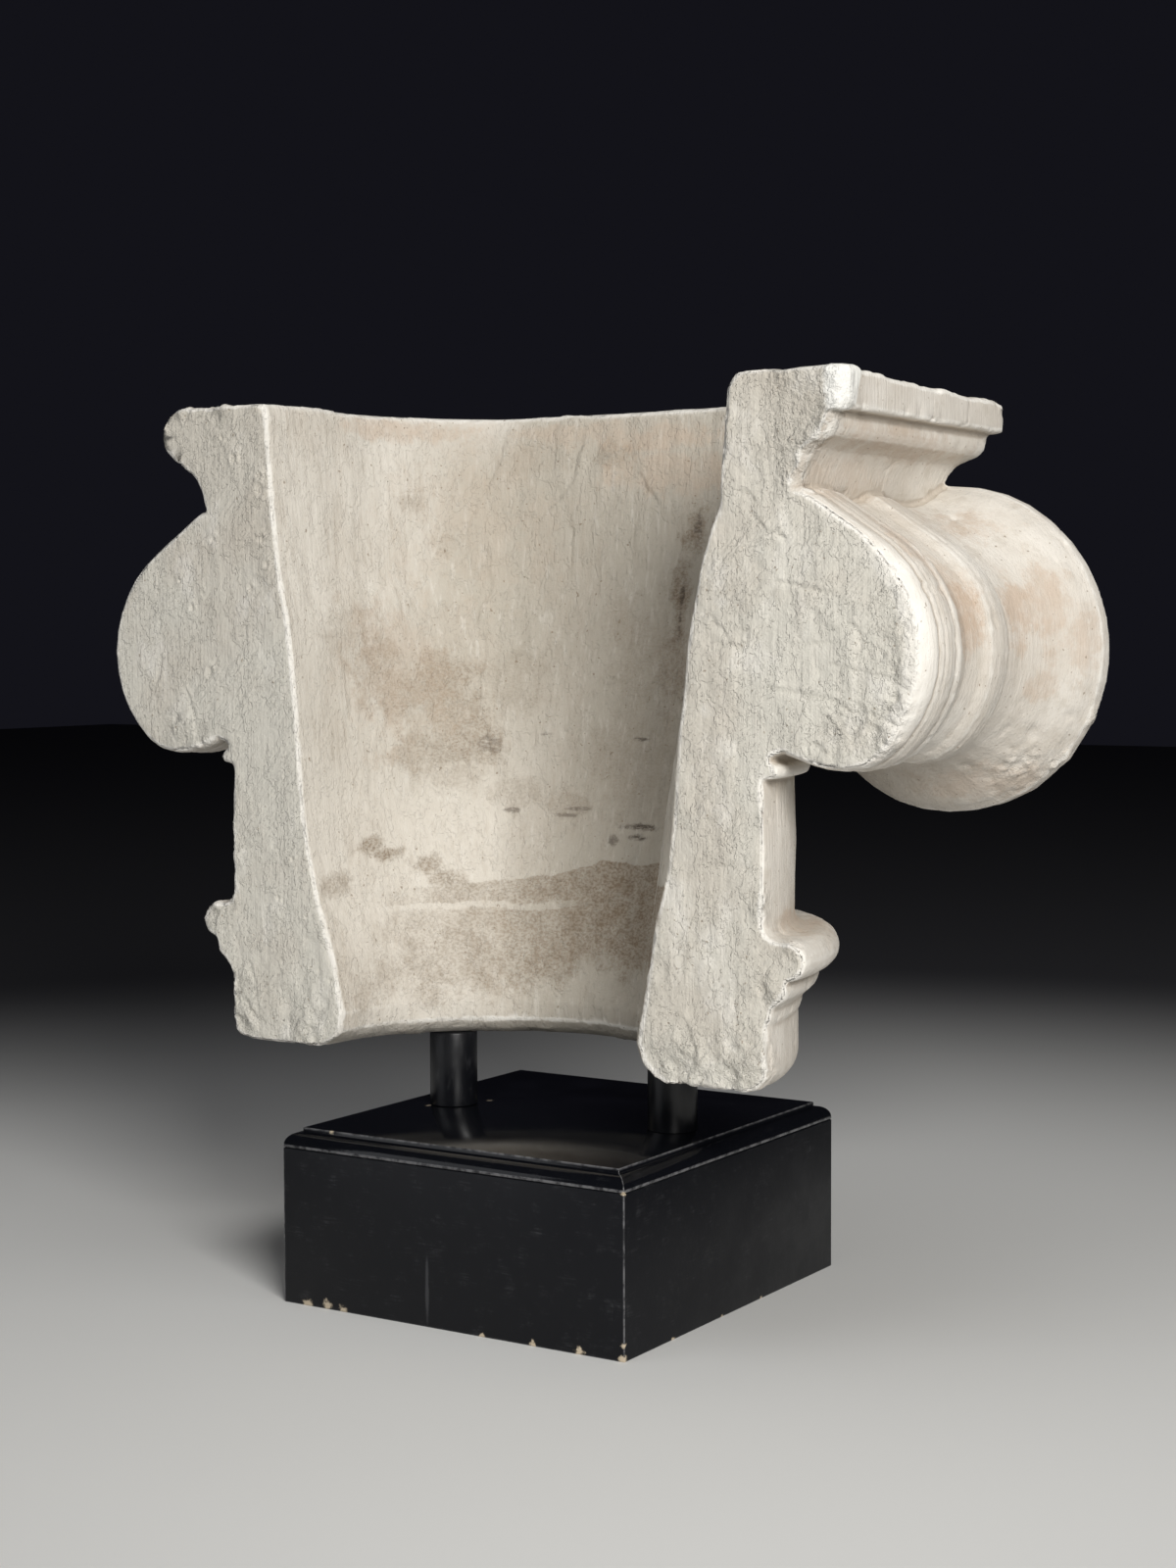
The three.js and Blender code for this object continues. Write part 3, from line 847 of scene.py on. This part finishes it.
def worn(n, colour, mottle):
    """Rubbed arrises show white, recesses are darker, and small dark specks lie about."""
    standing = n.value("standing")
    rub = n.times(n.ramp(standing, 0.12, 0.5), n.ramp(mottle, 0.25, 0.55, 0.35, 0.95))
    colour = n.blend(rub, colour, WHITE)
    chamfer = n.times(n.value("chamfer"), n.ramp(mottle, 0.25, 0.6, 1.0, 0.6))
    colour = n.blend(chamfer, colour, WHITE)
    # Darker in the recesses.
    colour = n.blend(n.ramp(standing, -0.08, -0.5, 0.0, 0.7), colour, DUST)
    specks = n.ramp(n.noise(0.0034, 1.0, 0.5, shift=23.0), 0.72, 0.78, 0.0, 0.7)
    return n.blend(specks, colour, BROWN)


def plaster_bump(n, cut, hollow):
    """Grain everywhere, drawn strokes and thin-edged smears on the cut, brush marks inside."""
    crust = n.value("crust")
    normal = n.bump(n.noise(0.0014, 2.0, 0.6, shift=29.0), 0.28 * MM)
    upright = n.noise(0.0024, 3.0, 0.6, stretch=(1, 1, 12), shift=31.0)
    normal = n.bump(upright, 0.7 * MM, normal)
    stroke = n.noise(0.0026, 2.0, 0.6, stretch=(1, 1, 16), shift=33.0, turn=42.0)
    where = n.ramp(n.noise(0.07, 3.0, 0.6, shift=34.0), 0.5, 0.62)
    normal = n.bump(n.times(stroke, where, cut), 1.1 * MM, normal)
    smear = n.noise(0.014, 5.0, 0.62, stretch=(1, 1, 1.5), shift=35.0)
    ledges = n.math("ADD", n.ramp(smear, 0.47, 0.5), n.ramp(smear, 0.57, 0.59))
    soft = n.math("ADD", n.math("MULTIPLY", cut, 0.75), n.math("MULTIPLY", hollow, 0.45))
    normal = n.bump(n.times(ledges, n.math("ADD", soft, 0.1)), 0.55 * MM, normal)
    rough = n.math("ADD", n.math("MULTIPLY", cut, 0.5), crust)
    rough = n.math("ADD", rough, n.math("MULTIPLY", hollow, 0.35))
    return n.bump(n.times(n.noise(0.006, 5.0, 0.66, shift=37.0), rough), 2.2 * MM, normal)


def plaster_material():
    n = Nodes("old_plaster")
    cut = n.value("cut")
    hollow = n.value("hollow")
    axes = n.add("ShaderNodeSeparateXYZ", {0: n.place}, "X")
    height = axes.node.outputs["Z"]
    side = n.math("SUBTRACT", axes, MIDDLE_X)
    cloud = n.noise(0.09, 4.0, 0.6)
    mottle = n.noise(0.018, 5.0, 0.68, shift=3.0)
    colour = n.blend(hollow, outside_colour(n, cloud, mottle), hollow_colour(n, side, height, cloud))
    colour = n.blend(cut, colour, cut_colour(n, height, cloud))
    colour = stained(n, colour, side, hollow)
    colour = worn(n, colour, mottle)
    colour = n.blend(n.value("repair"), colour, FRESH)
    roughness = n.ramp(mottle, 0.2, 0.8, 0.78, 0.94)
    return n.finish(colour, roughness, plaster_bump(n, cut, hollow))


# ------------------------------------------------------------------ plinth and posts


def bevelled(name, node, width):
    """A copy of a CAD node with every sharp edge eased."""
    def ease(edit):
        sharp = [e for e in edit.edges if len(e.link_faces) == 2 and e.calc_face_angle() > 0.35]
        bmesh.ops.bevel(edit, geom=sharp, offset=width, segments=2, profile=0.5, affect="EDGES")
    piece = new_mesh(name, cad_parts[node], ease)
    piece.data.shade_smooth()
    piece.data.set_sharp_from_angle(angle=math.radians(50))
    return piece


BLACK = (0.004, 0.0044, 0.006, 1)
# Dark grey for rubbed paint, also the colour of a painted reflection on the plinth.
RUBBED_AND_REFLECTION = (0.05, 0.051, 0.055, 1)
BARE_WOOD = (0.5, 0.42, 0.31, 1)

PLINTH_LOW, PLINTH_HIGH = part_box("plinth_box")
CAP_LOW, CAP_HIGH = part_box("plinth_cap")
CAP_INSET = 10.5 * MM  # from the plinth's edge to the cap's upper arris

# Chips that bare the wood along the foot of the +Y face and the cap: (x, y, z, reach), mm.
CHIPS = [
    (128, 155, 1, 4),
    (109, 155, 3, 3.4),
    (95, 155, 1, 3),
    (-30, 155, 0, 2.4),
    (-74, 155, 1, 2.6),
    (-113, 155, 1, 3.6),
    (-149, 155, 1, 3),
    (-149, 155, 12, 1.6),
    (-150, 90, 0, 2.4),
    (-150, 20, 0, 2),
    (-150, -40, 0, 2.2),
    (111, 26, 131, 2.2),
    (81, -16, 131, 2.6),
    (112, 145, 131, 1.6),
    (-108, -5, 131, 1.6),
    (-149, 155, 117, 1.8),
]


def arris_wear_and_highlight(n):
    """The plinth's arrises, the cap's joint and its mitres, from 0 away from them to 1 on them: partly rubbed paint,
    partly painted highlight.
    """
    x = n.add("ShaderNodeSeparateXYZ", {0: n.vector("ABSOLUTE", n.place)}, "X")
    y = x.node.outputs["Y"]
    z = x.node.outputs["Z"]
    in_x = n.math("SUBTRACT", PLINTH_HIGH.x, x)
    in_y = n.math("SUBTRACT", PLINTH_HIGH.y, y)
    nearest = n.math("MINIMUM", in_x, in_y)
    corner = n.ramp(n.math("MAXIMUM", in_x, in_y), 1.3 * MM, 0.4 * MM)
    foot = n.ramp(z, 1.2 * MM, 0.3 * MM, 0.0, 0.6)
    seam = n.times(n.band(z, CAP_LOW.z + 1.2 * MM, 0.7 * MM), n.ramp(nearest, 1.5 * MM, 0.5 * MM))
    top = n.times(n.band(nearest, CAP_INSET, 0.5 * MM), n.ramp(z, CAP_HIGH.z - 2 * MM, CAP_HIGH.z))
    mitre = n.times(
        n.band(n.math("SUBTRACT", in_x, in_y), 0, 0.35 * MM),
        n.ramp(z, CAP_LOW.z - 1 * MM, CAP_LOW.z + 1 * MM),
        n.ramp(nearest, CAP_INSET + 1 * MM, CAP_INSET),
    )
    return n.largest([corner, foot, seam, top, mitre])


def painted_black(name, gloss, wear):
    """Black paint, cloudy in its gloss, paler along the arrises as rubbed paint and painted highlight, with a painted
    reflection of a post, and chipped to the wood.
    """
    n = Nodes(name)
    n.shader.inputs["Specular IOR Level"].default_value = 0.22
    cloud = n.noise(0.07, 4.0, 0.6)
    rub = n.noise(0.012, 5.0, 0.7, shift=4.0)
    drawn = n.noise(0.0012, 2.0, 0.5, stretch=(14, 14, 1), shift=8.0)
    faint = n.times(n.ramp(rub, 0.5, 0.8), n.ramp(drawn, 0.4, 0.7), wear)
    colour = n.blend(faint, BLACK, RUBBED_AND_REFLECTION)
    broken = n.ramp(n.noise(0.008, 4.0, 0.7, shift=6.0), 0.36, 0.6, 0.15, 1.0)
    # Rubbed paint and painted highlight: paler broken lines along the arrises, the cap's joint and the mitre.
    colour = n.blend(n.times(arris_wear_and_highlight(n), broken), colour, (0.12, 0.12, 0.125, 1))
    # painted reflection: a faint pale upright streak low on the +Y face, below a post
    streak = n.blob((17.5 * MM, 155 * MM, 28 * MM), (1.4 * MM, 4 * MM, 24 * MM), n.ramp(rub, 0.2, 0.8, -0.3, 0.3), 0.7)
    colour = n.blend(streak, colour, RUBBED_AND_REFLECTION)
    warp = n.ramp(n.noise(0.004, 4.0, 0.7, shift=7.0), 0.25, 0.75, -0.7, 0.7)
    chips = [n.blob((x * MM, y * MM, z * MM), [reach * MM] * 3, warp, 1.0) for x, y, z, reach in CHIPS]
    colour = n.blend(n.largest(chips), colour, BARE_WOOD)
    roughness = n.ramp(cloud, 0.3, 0.7, gloss - 0.04, gloss + 0.08)
    normal = n.bump(n.noise(0.003, 3.0, 0.6, shift=9.0), 0.05 * MM)
    return n.finish(colour, roughness, normal)


def build_plinth():
    for node, slot, gloss, wear in (
        ("plinth_box", "black_paint", 0.42, 0.6),
        ("plinth_cap", "black_board", 0.1, 0.25),
    ):
        piece = bevelled(node + "_painted", node, 0.7 * MM)
        piece.data.materials.append(painted_black(node + "_paint", gloss, wear))
        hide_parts(node)
        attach(piece, "root")


def build_posts():
    for side in ("left", "right"):
        node = "post_" + side
        piece = bevelled(node + "_painted", node, 0.25 * MM)
        n = Nodes(node + "_paint")
        rub = n.noise(0.006, 5.0, 0.7, stretch=(1, 1, 3), shift=4.0)
        colour = n.blend(n.ramp(rub, 0.5, 0.8, 0.0, 0.5), BLACK, RUBBED_AND_REFLECTION)
        roughness = n.ramp(rub, 0.3, 0.7, 0.3, 0.42)
        normal = n.bump(n.noise(0.002, 3.0, 0.6, shift=9.0), 0.04 * MM)
        piece.data.materials.append(n.finish(colour, roughness, normal))
        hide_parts(node)
        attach(piece, "root")


# ------------------------------------------------------------------ the scene

add_camera()
add_floor()
add_lights()
build_capital()
build_plinth()
build_posts()
